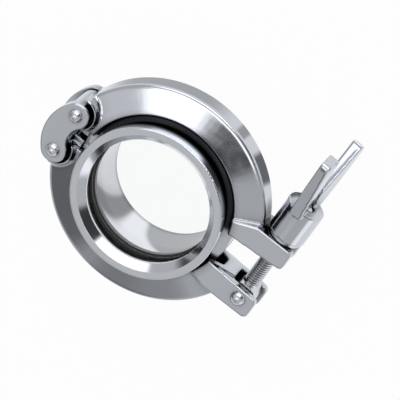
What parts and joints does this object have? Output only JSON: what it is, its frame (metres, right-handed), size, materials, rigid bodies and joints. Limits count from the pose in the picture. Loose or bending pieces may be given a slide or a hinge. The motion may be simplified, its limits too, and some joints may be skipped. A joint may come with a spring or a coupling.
{
  "type": "clamp sight glass",
  "caption": "Round pane in a bevelled ring, held on a flanged weld ferrule by a hinged pipe clamp with a swing bolt and wing nut, for looking into a sanitary line.",
  "frame": {"origin": "on the bore axis, at the weld end of the rear ferrule's tube", "axes": "+Z along the bore towards the pane and the viewer, +X towards the swing bolt, +Y along the bolt towards its wing nut"},
  "size_m": [0.1003, 0.1016, 0.0353],
  "materials": {
    "cast_stainless": "investment cast, tumbled and polished stainless steel",
    "turned_stainless": "turned and polished stainless steel",
    "sight_pane": "clear toughened glass, ground edges",
    "seal_rubber": "black moulded rubber, matte",
    "gasket_ptfe": "white PTFE, matte"
  },
  "bodies": {
    "sight_glass_and_upper_half": {"rear_ferrule": "turned_stainless", "flange_gasket": "gasket_ptfe", "sight_glass": "sight_pane", "glass_seal": "seal_rubber", "front_ring": "turned_stainless", "upper_clamp_half": "cast_stainless"},
    "links": {"front_link": "cast_stainless", "rear_link": "cast_stainless", "upper_link_pin": "turned_stainless", "lower_link_pin": "turned_stainless"},
    "lower_half": {"lower_clamp_half": "cast_stainless", "swing_bolt_pin": "turned_stainless"},
    "bolt": {"swing_bolt": "turned_stainless"},
    "washer": {"seat_washer": "turned_stainless"},
    "nut": {"wing_nut": "cast_stainless"}
  },
  "joints": [
    {"name": "nut_turn", "type": "hinge", "parent": "washer", "child": "nut", "pos_m": [0.0462, 0.01795, 0.02005], "axis": [0, 1, 0], "range_deg": [0, 4680]},
    {"name": "washer_slide", "type": "slide", "parent": "bolt", "child": "washer", "axis": [0, 1, 0], "range_m": [0, 0.013]},
    {"name": "bolt_swing", "type": "hinge", "parent": "lower_half", "child": "bolt", "pos_m": [0.0462, -0.0116, 0.02005], "axis": [0, 0, -1], "range_deg": [0, 60]},
    {"name": "lower_half_opening", "type": "hinge", "parent": "links", "child": "lower_half", "pos_m": [-0.03895, -0.00845, 0.02005], "axis": [0, 0, -1], "range_deg": [0, 3.5]},
    {"name": "links_opening", "type": "hinge", "parent": "sight_glass_and_upper_half", "child": "links", "pos_m": [-0.03895, 0.00845, 0.02005], "axis": [0, 0, -1], "range_deg": [0, 3.5]}
  ],
  "couplings": [
    {"joint": "washer_slide", "follows": "nut_turn", "m_per_rad": 0.00015915},
    {"joint": "bolt_swing", "follows": "nut_turn", "ratio": 0.012821},
    {"joint": "lower_half_opening", "follows": "nut_turn", "ratio": 0.00074786},
    {"joint": "links_opening", "follows": "nut_turn", "ratio": 0.00074786}
  ]
}
